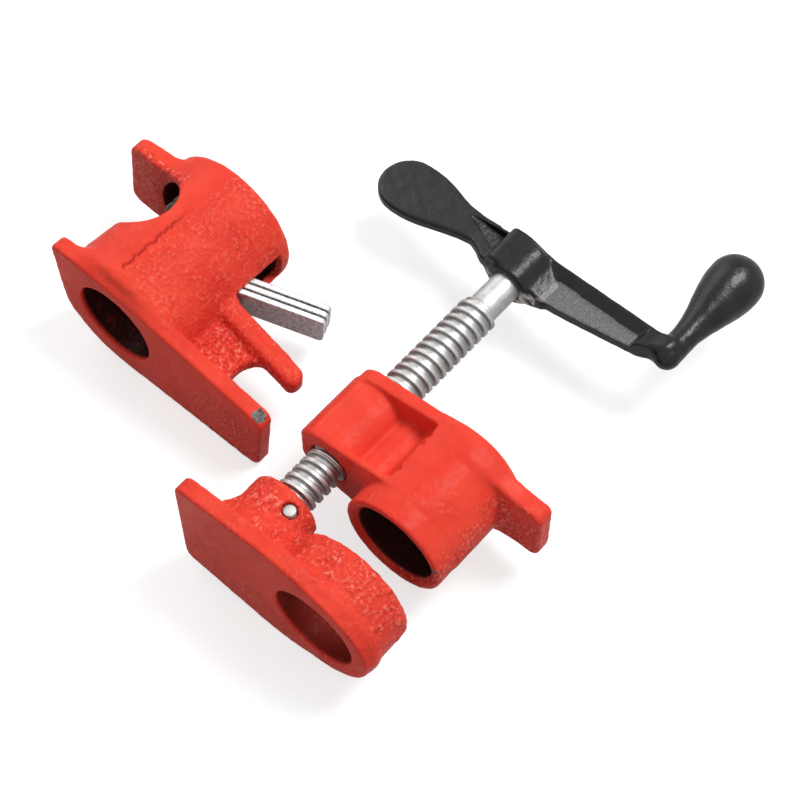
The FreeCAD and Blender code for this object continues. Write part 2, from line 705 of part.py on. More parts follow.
build_all()
document.recompute()
for thing in document.Objects:
    if "Invalid" in thing.State or "Error" in thing.State:
        raise RuntimeError(f"{thing.Name} failed: {thing.State}")
for piece in pieces:
    if piece.Shape.isNull() or not piece.Shape.isValid():
        raise RuntimeError(f"{piece.Label} has no valid shape")

os.makedirs("parts", exist_ok=True)
for piece in pieces:
    piece.Shape.exportStep(f"parts/{piece.Label}.step")
    print(piece.Label, len(piece.Shape.Solids), round(piece.Shape.Volume))
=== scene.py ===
"""Looks of a pair of cast clamp heads for three-quarter-inch pipe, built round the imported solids."""

import math

import bpy
import numpy as np
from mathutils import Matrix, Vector


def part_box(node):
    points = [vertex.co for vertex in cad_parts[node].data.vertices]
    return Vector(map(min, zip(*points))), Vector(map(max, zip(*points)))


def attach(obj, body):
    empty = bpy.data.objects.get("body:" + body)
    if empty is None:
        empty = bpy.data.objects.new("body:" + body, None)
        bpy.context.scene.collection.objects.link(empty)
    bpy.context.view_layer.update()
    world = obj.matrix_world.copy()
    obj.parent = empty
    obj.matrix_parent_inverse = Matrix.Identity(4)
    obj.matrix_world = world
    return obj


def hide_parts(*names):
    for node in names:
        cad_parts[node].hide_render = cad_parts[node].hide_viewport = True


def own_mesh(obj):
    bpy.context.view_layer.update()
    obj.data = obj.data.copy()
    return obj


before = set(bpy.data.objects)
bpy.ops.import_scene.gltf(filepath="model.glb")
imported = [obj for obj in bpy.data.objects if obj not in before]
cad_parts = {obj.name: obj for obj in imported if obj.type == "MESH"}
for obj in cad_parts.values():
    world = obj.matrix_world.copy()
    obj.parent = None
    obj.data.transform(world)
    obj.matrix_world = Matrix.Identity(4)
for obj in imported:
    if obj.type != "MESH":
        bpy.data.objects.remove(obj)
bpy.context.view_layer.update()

# Fixed head: one grey-iron casting, dipped in red enamel. A pipe barrel with a pocketed block beside it that
# carries the screw, and a foot at the rear. It was cast in two sand halves, which leave ragged parting lines.
MM = 0.001
BARREL_RADIUS = 17.0
BARREL_MOUTH = -1.1
HEAD_REAR = 34.9
BLOCK_FRONT = 6.9
BLOCK_EDGE = 41.5
BLOCK_HALF = 16.3
BLOCK_TAPER = 6.5
POCKET_FRONT = 9.9
POCKET_REAR = 29.9
POCKET_NEAR = 9.6
POCKET_FAR = 37.5
SCREW_Y = 30.8
SCREW_RADIUS = 6.35
THREAD_WALL = 12.6
FOOT_EDGE = -30
FOOT_FRONT = 26.9
FOOT_REAR = 32.9


def meet(a, b, radius):
    """What lies inside both a and b. Where both come within the radius of zero, the length of the two
    shortfalls makes the shared edge a quarter circle."""
    corner = np.hypot(np.maximum(a + radius, 0), np.maximum(b + radius, 0))
    return np.minimum(np.maximum(a, b), -radius) + corner


def join(a, b, radius):
    """What lies inside a or b, with a fillet of the radius in the corner between them."""
    corner = np.hypot(np.maximum(radius - a, 0), np.maximum(radius - b, 0))
    return np.maximum(np.minimum(a, b), radius) - corner


def cut(a, b, radius):
    """What lies inside a and outside b, with the edge of the cut rounded."""
    return meet(a, -b, radius)


def between(value, low, high):
    """Distance outside a slab from low to high, negative within it."""
    return np.maximum(low - value, value - high)


def hull(u, v, corners, radius):
    """Distance outside a convex outline, its corners given anticlockwise and each rounded to the radius: the
    greatest of the distances from its sides, joined by the length of the two greatest near a corner."""
    far = None
    for (u0, v0), (u1, v1) in zip(corners, corners[1:] + corners[:1]):
        length = math.hypot(u1 - u0, v1 - v0)
        side = ((u - u0) * (v1 - v0) - (v - v0) * (u1 - u0)) / length
        far = side if far is None else meet(far, side, radius)
    return far


def lumps(x, y, z, size, seed):
    """Uneven ground of hills and hollows about size apart, between -1 and 1: the mean of six waves, each a sine
    across its own slanted direction, bent by another sine."""
    rng = np.random.default_rng(seed)
    total = 0
    for wave in range(6):
        way = rng.normal(size=3)
        way *= 2 * math.pi / (size * (0.75 + 0.12 * wave)) / np.linalg.norm(way)
        turn, bend = rng.uniform(0, 2 * math.pi, 2)
        side = rng.permutation(way) * 0.6
        total = total + np.sin(x * way[0] + y * way[1] + z * way[2] + turn
                               + 1.3 * np.sin(x * side[0] + y * side[1] + z * side[2] + bend))
    return total / 3.2


def skin(field, low, high, cell):
    """Points and quads of the surface where field(x, y, z) is zero. The field is worked out on a grid of that
    cell. A cell with corners on both sides gets one point, the mean of the places where the field changes sign
    along its twelve edges, drawn to the surface by two steps of value over slope. Each grid edge with ends on
    both sides gets the quad of the four cells round it."""
    axes = [np.arange(low[axis] - cell, high[axis] + 2 * cell, cell) for axis in range(3)]
    value = field(*np.meshgrid(*axes, indexing="ij")).astype(np.float32)
    inside = value < 0
    corner_cuts = [(i, j, k) for i in (0, 1) for j in (0, 1) for k in (0, 1)]
    counts = [length - 1 for length in value.shape]

    def corner_of(grid, corner):
        i, j, k = corner
        return grid[i:i + counts[0], j:j + counts[1], k:k + counts[2]]

    hits = sum(corner_of(inside, corner).astype(np.int8) for corner in corner_cuts)
    cells = np.argwhere((hits > 0) & (hits < 8))
    at = {corner: value[tuple((cells + corner).T)] for corner in corner_cuts}
    place = np.zeros(cells.shape)
    crossings = np.zeros((len(cells), 1))
    for start in corner_cuts:
        for axis in range(3):
            if start[axis]:
                continue
            end = tuple(1 if number == axis else start[number] for number in range(3))
            crossed = ((at[start] < 0) != (at[end] < 0))[:, None]
            share = (at[start] / np.where(crossed[:, 0], at[start] - at[end], 1))[:, None]
            spot = np.array(start) + share * (np.array(end) - np.array(start))
            place += np.where(crossed, spot, 0)
            crossings += crossed
    origin = np.array([axis[0] for axis in axes])
    points = origin + (cells + place / crossings) * cell
    probe = cell * 0.1
    for _ in range(2):
        here = field(*points.T)
        slope = np.stack([field(*(points + probe * np.eye(3)[axis]).T) - here
                          for axis in range(3)], axis=1) / probe
        step = -here[:, None] * slope / np.maximum((slope ** 2).sum(axis=1), 0.25)[:, None]
        points += np.clip(step, -cell / 2, cell / 2)
    number = np.full(counts, -1)
    number[tuple(cells.T)] = np.arange(len(cells))
    quads = []
    for axis in range(3):
        first, second = (axis + 1) % 3, (axis + 2) % 3
        near = [slice(None)] * 3
        far = [slice(None)] * 3
        near[axis], far[axis] = slice(None, -1), slice(1, None)
        leaves = inside[tuple(near)] & ~inside[tuple(far)]
        enters = ~inside[tuple(near)] & inside[tuple(far)]
        for change, order in ((leaves, (0, 1, 2, 3)), (enters, (3, 2, 1, 0))):
            edge = np.argwhere(change)
            ring = []
            for back_first, back_second in ((1, 1), (0, 1), (0, 0), (1, 0)):
                cell_at = edge.copy()
                cell_at[:, first] -= back_first
                cell_at[:, second] -= back_second
                ring.append(number[tuple(cell_at.T)])
            quads.append(np.stack([ring[step] for step in order], axis=1))
    return points, np.concatenate(quads)


def piece(name, points, faces, material, body, slot, **marks):
    """One finished mesh object: points in mm in the row frame, smooth, riding on its body. Each mark is an array
    that is kept with the mesh, point by point, for the paint to read."""
    mesh = bpy.data.meshes.new(name)
    mesh.from_pydata((points * MM).tolist(), [], [tuple(map(int, face)) for face in faces])
    mesh.polygons.foreach_set("use_smooth", [True] * len(mesh.polygons))
    for mark, values in marks.items():
        mesh.attributes.new(mark, "FLOAT", "POINT").data.foreach_set("value", values.astype(np.float32))
    mesh.materials.append(material)
    mesh.update()
    thing = bpy.data.objects.new(name, mesh)
    bpy.context.scene.collection.objects.link(thing)
    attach(thing, body)
    return thing


def nodes_of(material):
    """The material's node tree, emptied, and its new shader, which is linked to a new output."""
    material.use_nodes = True
    tree = material.node_tree
    tree.nodes.clear()
    shader = tree.nodes.new("ShaderNodeBsdfPrincipled")
    output = tree.nodes.new("ShaderNodeOutputMaterial")
    tree.links.new(shader.outputs["BSDF"], output.inputs["Surface"])
    return tree, shader


def grain(tree, scale, detail, roughness=0.5):
    """Noise on Object coordinates: scale is in waves per metre."""
    place = tree.nodes.new("ShaderNodeTexCoord")
    noise = tree.nodes.new("ShaderNodeTexNoise")
    noise.inputs["Scale"].default_value = scale
    noise.inputs["Detail"].default_value = detail
    noise.inputs["Roughness"].default_value = roughness
    tree.links.new(place.outputs["Object"], noise.inputs["Vector"])
    return noise.outputs["Fac"]


def sum_of(tree, kind, first, second):
    """One Math node. Either side may be a number or a socket."""
    node = tree.nodes.new("ShaderNodeMath")
    node.operation = kind
    for socket, value in zip(node.inputs, (first, second)):
        if isinstance(value, (int, float)):
            socket.default_value = value
        else:
            tree.links.new(value, socket)
    return node.outputs[0]


def ramp(tree, source, stops):
    """A colour ramp through (place, colour) stops, fed by the source."""
    node = tree.nodes.new("ShaderNodeValToRGB")
    while len(node.color_ramp.elements) < len(stops):
        node.color_ramp.elements.new(0.5)
    for element, (place, colour) in zip(node.color_ramp.elements, stops):
        element.position = place
        element.color = (*colour, 1)
    tree.links.new(source, node.inputs["Fac"])
    return node.outputs["Color"]


def bump(tree, height, strength, distance, under=None):
    """Bump node: distance is in metres. under is the normal of another bump that it lies on."""
    node = tree.nodes.new("ShaderNodeBump")
    node.inputs["Strength"].default_value = strength
    node.inputs["Distance"].default_value = distance
    tree.links.new(height, node.inputs["Height"])
    if under is not None:
        tree.links.new(under, node.inputs["Normal"])
    return node.outputs["Normal"]


def spots(tree, places, ragged):
    """1 within a ragged patch round each (centre, radius) in mm, 0 elsewhere: the radius less the distance, with
    noise added, turned into a hard edge."""
    coordinate = tree.nodes.new("ShaderNodeTexCoord")
    total = 0.0
    for centre, radius in places:
        far = tree.nodes.new("ShaderNodeVectorMath")
        far.operation = "DISTANCE"
        tree.links.new(coordinate.outputs["Object"], far.inputs[0])
        far.inputs[1].default_value = [value * MM for value in centre]
        wave = sum_of(tree, "MULTIPLY", sum_of(tree, "SUBTRACT", ragged, 0.5), radius * MM * 1.6)
        depth = sum_of(tree, "SUBTRACT", sum_of(tree, "ADD", wave, radius * MM), far.outputs["Value"])
        patch = sum_of(tree, "GREATER_THAN", depth, 0.0)
        total = sum_of(tree, "MAXIMUM", patch, total)
    return total


def blend_of(tree, share, first, second):
    """Colour mix: share of the second over the first. Each may be a colour or a socket."""
    node = tree.nodes.new("ShaderNodeMix")
    node.data_type = "RGBA"
    for place, value in (("Factor", share), ("A", first), ("B", second)):
        socket = node.inputs[place]
        if isinstance(value, tuple):
            socket.default_value = (*value, 1)
        else:
            tree.links.new(value, socket)
    return node.outputs["Result"]


def told(tree, name):
    """The mesh's own point attribute of that name."""
    node = tree.nodes.new("ShaderNodeAttribute")
    node.attribute_name = name
    return node.outputs["Fac"]


def red_enamel(name, chips):
    """Gloss red enamel over sand-cast iron. Where the casting's skin is marked coarse, its hills get pale painted
    glints and its hollows painted shade. A seam is a dark line. The bore mark paints shade: near black with a
    breath of red.
    chips are (centre, radius) patches where the paint is knocked off down to grey iron."""
    material = bpy.data.materials.new(name)
    tree, shader = nodes_of(material)
    grit = told(tree, "grit")
    cloud = grain(tree, 90, 2)
    sand = grain(tree, 860, 3, 0.55)
    fine = grain(tree, 2600, 2, 0.6)
    peel = grain(tree, 420, 1, 0.4)
    paint = ramp(tree, cloud, [(0.3, (0.68, 0.046, 0.029)), (0.55, (0.74, 0.058, 0.035)),
                               (0.75, (0.78, 0.068, 0.040))])
    # Painted shade in the sand's hollows and painted glints on its hills, both stronger where the casting's skin
    # is marked coarse.
    hollow = ramp(tree, sand, [(0.36, (1, 1, 1)), (0.48, (0, 0, 0))])
    glint_hill = ramp(tree, sand, [(0.54, (0, 0, 0)), (0.63, (1, 1, 1))])
    coarse = sum_of(tree, "MULTIPLY", grit, grit)
    painted_pit_shade = sum_of(tree, "MULTIPLY", hollow, sum_of(tree, "MULTIPLY", coarse, 0.5))
    paint = blend_of(tree, painted_pit_shade, paint, (0.36, 0.012, 0.010))
    painted_glint = sum_of(tree, "MULTIPLY", glint_hill, sum_of(tree, "MULTIPLY", coarse, 0.38))
    paint = blend_of(tree, painted_glint, paint, (0.93, 0.40, 0.32))
    paint = blend_of(tree, told(tree, "seam"), paint, (0.34, 0.012, 0.010))
    # Painted shade: in the bores and the tail's hollow the colour goes near black with a breath of red.
    dark = ramp(tree, sand, [(0.35, (0.028, 0.009, 0.008)), (0.65, (0.055, 0.013, 0.011))])
    paint = blend_of(tree, told(tree, "bore"), paint, dark)
    if chips:
        bare = ramp(tree, sand, [(0.35, (0.05, 0.048, 0.044)), (0.6, (0.22, 0.21, 0.2))])
        paint = blend_of(tree, spots(tree, chips, grain(tree, 600, 3)), paint, bare)
    tree.links.new(paint, shader.inputs["Base Color"])
    tree.links.new(sum_of(tree, "ADD", sum_of(tree, "MULTIPLY", fine, 0.16), 0.2), shader.inputs["Roughness"])
    shader.inputs["Specular IOR Level"].default_value = 0.04
    smooth = bump(tree, peel, 0.35, 0.0002)
    sandy = bump(tree, sum_of(tree, "MULTIPLY", sand, grit), 1.0, 0.0008, smooth)
    tree.links.new(bump(tree, fine, 0.25, 0.00006, sandy), shader.inputs["Normal"])
    return material


def head_field(x, y, z):
    """Barrel and block as one outline across X, the two joined with a wide fillet, with pockets sunk between the
    block's flanges, then the round walls of barrel, web and screw barrel left standing in them."""
    half = BLOCK_HALF - BLOCK_TAPER * np.clip(y, 0, BLOCK_EDGE) / BLOCK_EDGE
    from_pipe = np.hypot(y, z)
    barrel = meet(from_pipe - BARREL_RADIUS, between(x, BARREL_MOUTH, HEAD_REAR), 0.9)
    barrel = np.maximum(barrel, meet(from_pipe - BARREL_RADIUS, x - HEAD_REAR, 2.5))
    block_outline = meet(np.abs(z) - half, between(y, 4, BLOCK_EDGE), 7.0)
    outline = join(from_pipe - BARREL_RADIUS + 0.3, np.maximum(block_outline, 4 - y), 3.0)
    block = meet(outline, between(x, BLOCK_FRONT, HEAD_REAR), 1.0)
    solid = join(barrel, block, 1.4)
    foot_outline = meet(np.abs(z) - 12 + 0.08 * np.maximum(-y - 17, 0), FOOT_EDGE - y, 2.6)
    foot_outline = join(np.maximum(foot_outline, y), from_pipe - BARREL_RADIUS + 0.6, 7.5)
    foot = meet(foot_outline, between(x, FOOT_FRONT, FOOT_REAR), 1.3)
    solid = join(solid, foot, 3.2)
    ragged = 0.5 * lumps(x, 0 * y, 0 * z, 2.6, 3) + 0.28 * lumps(x, 0 * y, 0 * z, 1.1, 4)
    slope = 0.1 * (np.abs(z) - 6)
    pocket = meet(meet(between(y, POCKET_NEAR + ragged, POCKET_FAR + slope),
                       between(x, POCKET_FRONT - slope, POCKET_REAR + slope), 1.2), 2.5 - np.abs(z), 0.5)
    solid = cut(solid, pocket, 0.7)
    from_screw = np.hypot(y - SCREW_Y, z)
    inner = join(from_screw - 9.7, np.hypot(y - 18.2, z) - 6.2, 1.6)
    inner = join(inner, from_pipe - 14.8, 1.6)
    inner = join(inner, np.hypot(y - 34.5, z) - 8.6, 3.0)
    inner = np.maximum(inner, between(x, POCKET_FRONT - 1, POCKET_REAR + 1))
    solid = join(solid, inner, 1.2)
    flare = THREAD_WALL + 0.5 + 1.9 * np.clip((0.6 - x) / 1.7, 0, 1)
    solid = cut(solid, from_pipe - flare, 0.35)
    solid = cut(solid, from_screw - SCREW_RADIUS - 0.25, 0.5)
    return solid - 0.05 * lumps(x, y, z, 5.0, 11) - 0.03 * lumps(x, y, z, 2.2, 12)


def head_grit(x, y, z):
    """Rough on the sides of the barrel and under the foot, smooth on top where the enamel ran together. The same
    mark sets how strong the enamel's painted glints and painted pit shade are.
    """
    side = np.clip((11 - z) / 8, 0, 1) * (y < 5)
    fore = np.clip((BLOCK_FRONT + 1 - x) / 2, 0, 1) * (y > 16)
    foot = np.clip((29 - x) / 2, 0, 1) * (y < -15) * (x > 20)
    return np.clip(0.1 + 0.75 * side + 0.5 * fore + 0.3 * foot + 0.25 * lumps(x, y, z, 9, 21), 0.05, 1)


def bore_shade_mask(x, y, z, radius, front):
    """1 on the bore's wall from a little behind its front edge, 0 outside it. The enamel paints shade where it is
    1.
    """
    return np.clip((radius + 0.5 - np.hypot(y, z)) / 0.4, 0, 1) * np.clip((x - front) / 0.8, 0, 1)


points, faces = skin(head_field, (-1.5, -31, -18), (35.5, 44, 18), 0.5)
# The bore mark is painted shade on the barrel's inner wall.
head = piece("head_body", points, faces,
             red_enamel("red_enamel_head", [((-1.0, -15.4, 4.6), 0.9), ((0.4, -16.4, 3.4), 0.6)]),
             "head", "red_casting", grit=head_grit(*points.T),
             bore=bore_shade_mask(*points.T, THREAD_WALL + 0.6, BARREL_MOUTH + 0.4))
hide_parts("head_casting")

# Front jaw: a second casting that slides on the pipe. A tapered plate with the pipe ring and the screw's boss
# behind it, rougher than the head because its sand was coarser.
JAW_FACE = -34.1
JAW_PLATE_BACK = -28.6
RING_REAR = -15.35
BOSS_REAR = -9.6
PIPE_WALL = 13.9
RING_RADIUS = 19.0
BOSS_RADIUS = 11.2
NECK_WALL = 5.05
NECK_SEAT = -26.95
PIN_X = -14.8
PIN_Y = 25.5
PIN_WALL = 2.35


def jaw_field(x, y, z):
    """Plate as a prism of its outline, ring, boss, web between them and gusset above, joined with fillets."""
    from_pipe = np.hypot(y, z)
    from_screw = np.hypot(y - SCREW_Y, z)
    top = hull(y, np.abs(z), [(-9, -30), (50.5, -30), (50.5, 20.7), (12, 24.3), (-9, 17.3)], 3.4)
    ring_face = from_pipe - 19.3
    outline = join(top, ring_face, 1.5)
    plate = meet(outline, between(x, JAW_FACE, JAW_PLATE_BACK), 1.0)
    crown = 0.2 * np.clip(1 - ((x + 25) / 10) ** 2, 0, 1)
    inner = JAW_FACE + 2.2
    ring = meet(from_pipe - RING_RADIUS - crown, between(x, inner, RING_REAR), 2.2)
    boss = meet(from_screw - BOSS_RADIUS, between(x, inner, BOSS_REAR), 2.0)
    web = meet(np.maximum(np.abs(z) - 8, between(y, 0, SCREW_Y)), between(x, inner + 0.3, -18.4), 1.5)
    gusset_top = hull(x, y, [(-31, 24), (-14.6, 24), (-14.6, 36), (JAW_PLATE_BACK, 46.2), (-31, 46.2)], 1.0)
    gusset = meet(gusset_top, np.abs(z) - 8.3, 1.5)
    rear = join(join(ring, web, 4.0), join(boss, gusset, 2.0), 3.0)
    solid = join(plate, rear, 2.2)
    solid = cut(solid, from_pipe - PIPE_WALL, 0.5)
    neck = np.maximum(from_screw - NECK_WALL, NECK_SEAT - x)
    solid = cut(solid, neck, 0.4)
    pin_hole = np.hypot(x - PIN_X, y - PIN_Y) - PIN_WALL
    solid = cut(solid, pin_hole, 0.15)
    rough = np.clip((x - JAW_PLATE_BACK) / 3, 0, 1)
    solid = solid - (0.04 + 0.09 * rough) * lumps(x, y, z, 3.4, 31) - 0.05 * rough * lumps(x, y, z, 1.7, 32)
    return np.maximum(solid, JAW_FACE - x)


def jaw_grit(x, y, z):
    """Smoother on the plate's face but for its lower half, roughest on the boss and the ring. The same mark sets
    the enamel's painted glints and painted pit shade; it is raised on the face's lower half, a shaded side, for
    its painted glints.
    """
    rough = np.clip((x - JAW_PLATE_BACK) / 4, 0, 1)
    low = np.clip((2 - z) / 16, 0, 1) * (x < JAW_FACE + 1)
    return np.clip(0.25 + 0.55 * rough + 0.4 * low + 0.35 * lumps(x, y, z, 7, 22), 0.1, 1)


points, faces = skin(jaw_field, (JAW_FACE - 0.5, -20.5, -25), (BOSS_REAR + 0.5, 51, 25), 0.5)
# The bore mark is painted shade on the ring's inner wall.
front_jaw = piece("front_jaw_body", points, faces, red_enamel("red_enamel_front_jaw", []),
                  "front_jaw", "red_casting", grit=jaw_grit(*points.T),
                  bore=0.72 * bore_shade_mask(*points.T, PIPE_WALL, JAW_FACE + 0.5))
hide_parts("front_jaw_casting")

# Screw: bright zinc-plated steel rod with a rolled 8-to-the-inch thread, turned down to a neck at the jaw's boss
# and to a bare shank where the crank is pressed on. It turns in the jaw and drives it.
SCREW_PITCH = 3.175
NECK_TIP = -26.6
THREAD_START = -9.0
THREAD_END = 75.5
SHANK_END = 101.8
NECK_RADIUS = 4.9
ROOT_RADIUS = 4.95
CREST_RADIUS = 6.34
GROOVE_RADIUS = 3.25


def thread_radius(x, turn):
    """Radius at x and at an angle of turn (in turns): root, flank, crest with a shallow dip along its middle, and
    flank, read from the place within one pitch; faded to the neck at both ends and cut by the pin's groove."""
    share = (x / SCREW_PITCH - turn) % 1.0
    ridge = np.interp(share, [0, 0.26, 0.33, 0.42, 0.46, 0.62, 0.78, 0.83, 0.93, 1.0],
                      [ROOT_RADIUS, ROOT_RADIUS, 5.15, 6.22, CREST_RADIUS, 6.2, CREST_RADIUS, 6.2, 5.1,
                       ROOT_RADIUS])
    fade = np.clip(np.minimum(x - THREAD_START, THREAD_END - x) / 1.4, 0, 1)
    groove = np.abs(x - PIN_X) < 2.1
    return np.where(groove, GROOVE_RADIUS, NECK_RADIUS + (ridge - NECK_RADIUS) * fade)


def tube_faces(rows, sides):
    """Faces of a closed tube whose points are rows of rings, then a point that closes each end: quads between
    neighbouring rings, and a fan of triangles at both ends."""
    at = np.arange(rows * sides).reshape(rows, sides)
    beside = np.roll(at, -1, axis=1)
    quads = np.stack([at[:-1], at[1:], beside[1:], beside[:-1]], axis=-1).reshape(-1, 4)
    first, last = rows * sides, rows * sides + 1
    caps = [(first, a, b) for a, b in zip(at[0], beside[0])]
    caps += [(last, b, a) for a, b in zip(at[-1], beside[-1])]
    return quads.tolist() + [tuple(int(number) for number in cap) for cap in caps]


def turned(rows, radii, sides, centre):
    """Closed surface turned about a line parallel to X through centre (y, z): one ring of points for each row,
    the radii given row by row and side by side, and a point that closes each end."""
    angle = 2 * np.pi * np.arange(sides) / sides
    x = np.repeat(rows[:, None], sides, axis=1)
    ring = np.stack([x, centre[0] + radii * np.cos(angle), centre[1] + radii * np.sin(angle)], axis=-1)
    ends = np.array([(rows[0], *centre), (rows[-1], *centre)])
    points = np.concatenate([ring.reshape(-1, 3), ends])
    return points, tube_faces(len(rows), sides)


def bright_zinc(name, base, rough):
    """Plated steel: satin with a faint cloud and fine marks, and painted shade on the thread's flanks and grooves
    where the root attribute is high.
    """
    material = bpy.data.materials.new(name)
    tree, shader = nodes_of(material)
    cloud = grain(tree, 260, 3)
    fine = grain(tree, 1900, 2)
    plate = ramp(tree, cloud, [(0.3, tuple(0.72 * value for value in base)), (0.62, base)])
    # Painted shade: where the root mark is high, the plating's colour drops to a third.
    tree.links.new(blend_of(tree, told(tree, "root"), plate, tuple(0.34 * value for value in base)),
                   shader.inputs["Base Color"])
    shader.inputs["Metallic"].default_value = 1.0
    tree.links.new(sum_of(tree, "ADD", sum_of(tree, "MULTIPLY", fine, 0.2), rough), shader.inputs["Roughness"])
    tree.links.new(bump(tree, fine, 0.3, 0.00005), shader.inputs["Normal"])
    return material


rows = np.concatenate([[NECK_TIP, NECK_TIP + 0.4], np.arange(NECK_TIP + 0.8, THREAD_START - 0.2, 0.4),
                       np.arange(THREAD_START - 0.1, THREAD_END + 0.1, 0.16),
                       np.arange(THREAD_END + 0.3, SHANK_END - 0.6, 1.0), [SHANK_END - 0.5, SHANK_END]])
sides = 80
radii = thread_radius(rows[:, None], np.arange(sides)[None, :] / sides)
radii[[0, -1]] -= 0.5
points, faces = turned(rows, radii, sides, (SCREW_Y, 0))
# The root mark is painted shade on the thread's flanks and in its grooves.
depth = CREST_RADIUS - np.hypot(points[:, 1] - SCREW_Y, points[:, 2])
flank = np.clip(1 - np.abs(depth - 0.65) / 0.5, 0, 1)
threaded = (points[:, 0] > THREAD_START + 1) & (points[:, 0] < THREAD_END - 1.2)
root = np.maximum(flank, 0.3 * (depth > 0.6)) * threaded
screw = piece("screw_body", points, faces, bright_zinc("zinc_plate", (0.56, 0.56, 0.555), 0.38), "screw",
              "zinc_steel", root=root)
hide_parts("screw_spindle")

# Pin across the boss: plain steel, driven in beside the screw's neck and lying in its groove, so that the jaw
# follows the screw. Its ends are flush with the boss.
PIN_RADIUS = 2.0
PIN_HALF = 9.7
rows = np.array([-PIN_HALF, -PIN_HALF + 0.1, -PIN_HALF + 0.35, PIN_HALF - 0.35, PIN_HALF - 0.1, PIN_HALF])
radii = np.repeat((PIN_RADIUS - np.array([0.45, 0.15, 0, 0, 0.15, 0.45]))[:, None], 40, axis=1)
points, faces = turned(rows, radii, 40, (0, 0))
points = np.stack([PIN_X + points[:, 2], PIN_Y + points[:, 1], -points[:, 0]], axis=1)
pin = piece("retaining_pin_body", points, faces, bright_zinc("pin_steel", (0.50, 0.50, 0.49), 0.5),
            "front_jaw", "zinc_steel")
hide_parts("jaw_retaining_pin")

# Crank: one black-enamelled casting pressed on the shank. A flat grip on one side of the hub, and on the other a
# ribbed arm that ends in a pear-shaped knob.
CRANK_X = 87.6
CRANK_LIFT = math.radians(4.0)
HUB_LENGTH = 14.2
ARM_REACH = 52.8
PADDLE_X = 8.5
PADDLE_END = 46.2
KNOB_START = 4.8
KNOB_END = 51.1


def eased(share):
    """The share held within 0 and 1, with a slow start and a slow end: three squares less two cubes."""
    share = np.clip(share, 0, 1)
    return share * share * (3 - 2 * share)


def crank_field(x, y, z):
    """Hub, arm with its shelf and rib, knob, and grip, in the crank's own frame: x along the screw, +y to the
    grip. The arm's cut opens at the front and climbs to the rib behind; the hub slopes down into it."""
    from_shank = np.hypot(y, z)
    collar = meet(from_shank - 7.6, between(x, -0.9, HUB_LENGTH - 1.5), 1.1)
    saddle = meet(hull(y, z, [(-13.4, -3.0), (-4.5, -6.6), (4.5, -6.6), (9.6, -2.4), (9.6, 4.6), (7.8, 8.0),
                              (2.2, 8.0), (-13.4, 0.6)], 1.4), between(x, 0.1, HUB_LENGTH - 0.1), 1.2)
    hub = join(collar, saddle, 1.0)
    arm_outline = hull(x, y, [(0.5, -4), (0.5, -12.2), (4.6, -46), (9.0, -ARM_REACH), (12.4, -ARM_REACH),
                              (13.5, -28), (13.9, -4)], 1.4)
    arm = meet(arm_outline, between(z, -2.9, 4.1), 0.8)
    wall = 9.0 + 1.25 * (z - 1.2) + 0.032 * (y + 12)
    trough = meet(meet(x - wall, 1.1 - z, 0.8), -42.2 - 0.9 * (z - 1.2) - y, 0.8)
    arm = cut(arm, trough, 0.35)
    from_knob = np.hypot(y + ARM_REACH, z)
    radius = 4.15 + 4.75 * eased((x - 16.5) / 25)
    start = np.sqrt(np.clip(1 - (np.clip(9.1 - x, 0, 4.3) / 4.3) ** 2, 0, 1))
    end = np.sqrt(np.clip(1 - (np.clip(x - 42.6, 0, 8.5) / 8.5) ** 2, 0, 1))
    knob = (from_knob - radius * start * end) * 0.95
    knob = np.maximum(knob, between(x, KNOB_START, KNOB_END))
    knob = join(knob, meet(from_knob - 2.6, between(x, 42, 51.25), 0.3), 0.4)
    half = 4.6 + 5.3 * eased((y - 17) / 26)
    round_end = np.hypot(x - PADDLE_X, y - PADDLE_END) - 9.8
    blade = np.maximum((np.abs(x - PADDLE_X) - half) * 0.97, y - PADDLE_END)
    blade = np.minimum(blade, round_end)
    root = hull(x, y, [(0.4, 6), (13.7, 6), (13.5, 25), (4.4, 17.6), (0.4, 11.2)], 0.8)
    blade = join(np.maximum(blade, 14 - y), root, 1.5)
    top = 3.7 + 0.06 * np.clip(18 - y, 0, 9)
    grip = meet(blade, between(z, -0.5, top), 1.2)
    dip = hull(x, y, [(4.6, 8.5), (12.3, 8.5), (12.0, 21.0), (11.0, 23.4)], 0.6)
    dip = meet(dip, 3.5 - 0.24 * np.clip(23.4 - y, 0, 14) - z, 0.6)
    grip = cut(grip, dip, 0.4)
    solid = join(hub, join(arm, grip, 0.6), 1.0)
    solid = join(solid, knob, 3.0)
    solid = cut(solid, from_shank - NECK_RADIUS - 0.02, 0.3)
    return solid + 0.06 - 0.05 * lumps(x, y, z, 6.0, 41) - 0.02 * lumps(x, y, z, 1.9, 42)


def crank_grit(x, y, z):
    """Grey on the arm's open shelf, for thin dusty paint over the sand with a painted sheen, and faintly grey on
    the grip's flat top, a painted light on a face that looks up.
    """
    shelf = ((y < -10.5) & (y > -42.5) & (x < 10) & (np.abs(z - 1.1) < 0.5)).astype(float)
    flat = np.clip((y - 10) / 5, 0, 1) * (z > 3.2)
    return np.clip(shelf + 0.04 * flat, 0, 1)


def crank_bare(x, y, z):
    """The lower sides of the collar's front edge, where the hub was pressed home and the enamel flaked off."""
    patch = np.clip(1.1 + 1.6 * lumps(x, y, z, 5, 43), 0, 1) * np.clip((np.abs(y) - 3) / 1.5, 0, 1)
    return np.clip((1.5 - x) / 0.5, 0, 1) * np.clip((2 - z) / 1.5, 0, 1) * patch * (np.hypot(y, z) < 10.5)


